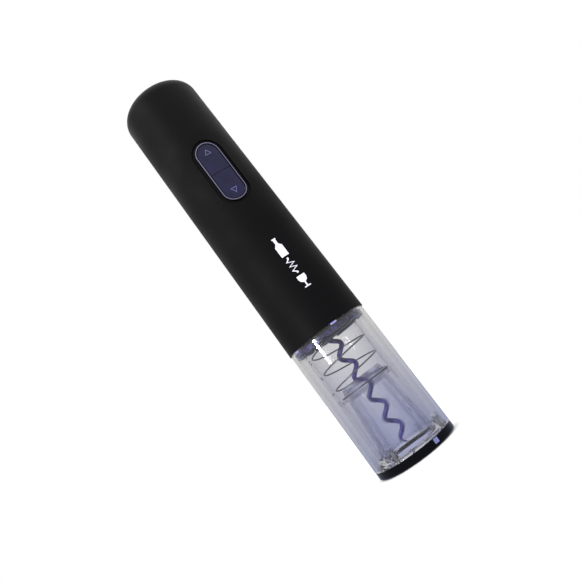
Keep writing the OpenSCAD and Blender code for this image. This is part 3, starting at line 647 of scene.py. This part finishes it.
# %% [markdown]
# The glass is a bowl that narrows, a stem and a foot, all pulled from one rectangle.

# %% Glass picture
start()
glass = flat_plane(105.4, 4.8, 2.0)
pick_edges(glass, lambda p: p.z < 105)
pull((-1.3, 0.8), (-1.0, 0.2), (-2.2, 1.0), (0.0, 4.6), (-0.6, 1.0))
lay_on_handle("printed_glass")

# %% [markdown]
# ## Grip ribs on the battery door
# A cover like this has a few raised ribs for the thumb. One rib is a round bar that follows the
# wall: a small disc is extruded step by step and turned about the handle's axis.

# %% Door ribs
RIB_R = 0.45 * MM
RIB_AXIS_R = 23.25 * MM
RIB_STEPS = 14
LOWEST_RIB, RIB_STEP = 222 * MM, 2.4 * MM


def door_rib(name, z, half_angle):
    """One rib at a height z that reaches half_angle degrees to each side."""
    start()
    bpy.ops.mesh.primitive_circle_add(vertices=12, radius=RIB_R, fill_type="NGON",
                                      location=(0, RIB_AXIS_R, z), rotation=(0, math.pi / 2, 0))
    bpy.ops.object.transform_apply(location=True, rotation=True, scale=True)
    bpy.ops.object.mode_set(mode="EDIT")
    bpy.ops.mesh.select_all(action="SELECT")
    bpy.ops.transform.rotate(value=math.radians(half_angle), orient_axis="Z", center_override=(0, 0, 0))
    for step in range(RIB_STEPS):
        bpy.ops.mesh.extrude_region_move()
        bpy.ops.transform.rotate(value=-math.radians(2 * half_angle / RIB_STEPS), orient_axis="Z",
                                 center_override=(0, 0, 0))
    done(name, soft, "rear_cover")


for number, half_angle in enumerate((11, 13, 14, 13, 11)):
    door_rib("door_rib_%d" % (number + 1), LOWEST_RIB + RIB_STEP * number, half_angle)

# %% [markdown]
# ## Camera
# The opener is seen from below the middle, a little to the left of the buttons, and the camera is
# rolled so that the opener leans to the upper left of the frame.

# %% Camera
camera = bpy.data.objects.new("camera", bpy.data.cameras.new("camera"))
bpy.context.collection.objects.link(camera)
camera.data.sensor_width = 36
camera.data.lens = 34.22
camera.data.clip_start = 0.01
viewpoint = Vector((-81.83, -285.38, 48.42)) * MM
ROLL = math.radians(36.73)
forward = Matrix.Rotation(math.radians(VIEW), 3, "Z") @ Vector((-0.00762, 0.98051, 0.19631))
level_up = (Vector((0, 0, 1)) - forward * forward.z).normalized()
level_right = forward.cross(level_up)
up = level_up * math.cos(ROLL) + level_right * math.sin(ROLL)
right = forward.cross(up)
camera.matrix_world = Matrix.Translation(viewpoint) @ Matrix((right, up, -forward)).transposed().to_4x4()
bpy.context.scene.camera = camera
print("camera at", [round(v / MM) for v in camera.location], "mm")

# %% [markdown]
# ## Floor and studio light
# The floor and the surroundings behind the opener are white. What the clear plastic bends or mirrors
# is greyer: lilac low down and a warm white higher up, as in a room with a pale wall. So the floor is
# left out of refractions and mirror images, and the surroundings have a second, greyer look for
# every ray that doesn't come straight from the camera.

# %% Floor
start()
bpy.ops.mesh.primitive_plane_add(size=12, location=(0, 0, 0))
floor = bpy.context.object
floor.name = "floor"
paper, tree, bsdf, place = finish("matt white paper floor", "#f4f4f4", 0.9, Specular_IOR_Level=0.1)
fibre = noise(tree, place, 6, 3.0)
feed(tree, bsdf, Base_Color=blend(tree, fibre, "#f3f3f3", "#f7f7f7"))
floor.data.materials.append(paper)
floor.visible_transmission = False
floor.visible_glossy = False

# %% Surroundings
world = bpy.data.worlds.new("white studio")
bpy.context.scene.world = world
world.use_nodes = True
tree = world.node_tree
way = add(tree, "ShaderNodeTexCoord").outputs["Generated"]
steepness = add(tree, "ShaderNodeSeparateXYZ", inputs={"Vector": way}).outputs["Z"]
wall = blend(tree, spread(tree, steepness, -0.14, 0.1), "#aeb2ca", "#e2e1dd")
straight = add(tree, "ShaderNodeLightPath").outputs["Is Camera Ray"]
background = tree.nodes["Background"]
background.inputs["Strength"].default_value = 1.0
feed(tree, background, Color=blend(tree, straight, wall, "#ffffff"))

# %% [markdown]
# A large warm lamp stands at the upper left. A small one, low on the same side, leaves the bright
# streak on the clear tube, and a very soft sun stands in for a white ceiling. The clear pieces throw
# no shadow, because clear plastic lets the light through.

# %% Lamps
def soft_lamp(name, where, size, power, aim=(0, 0, 0.12), colour=(1, 1, 1)):
    """A rectangular lamp, with its place and size in metres and its power in watts."""
    lamp_data = bpy.data.lights.new(name, "AREA")
    lamp_data.shape = "RECTANGLE"
    lamp_data.size, lamp_data.size_y = size
    lamp_data.energy = power
    lamp_data.color = colour
    lamp_object = bpy.data.objects.new(name, lamp_data)
    bpy.context.collection.objects.link(lamp_object)
    lamp_object.location = where
    lamp_object.rotation_euler = (Vector(aim) - Vector(where)).to_track_quat("-Z", "Y").to_euler()


soft_lamp("key", (-0.7, -0.35, 0.6), (0.5, 0.5), 3.0, colour=(1.0, 0.97, 0.94))
soft_lamp("streak", (-0.5, -0.34, 0.112), (0.08, 0.045), 0.8, aim=(0, 0, 0.07))
sun = bpy.data.lights.new("ceiling", "SUN")
sun.energy = 2.0
sun.angle = math.radians(120)
ceiling = bpy.data.objects.new("ceiling", sun)
ceiling.location = (0, 0, 1)
bpy.context.collection.objects.link(ceiling)
clear_finishes = (outer_clear, inner_clear, carriage_clear)
for piece in bpy.context.scene.objects:
    if piece.type == "MESH" and piece.data.materials and piece.data.materials[0] in clear_finishes:
        piece.visible_shadow = False
bpy.context.scene.view_settings.view_transform = "Standard"
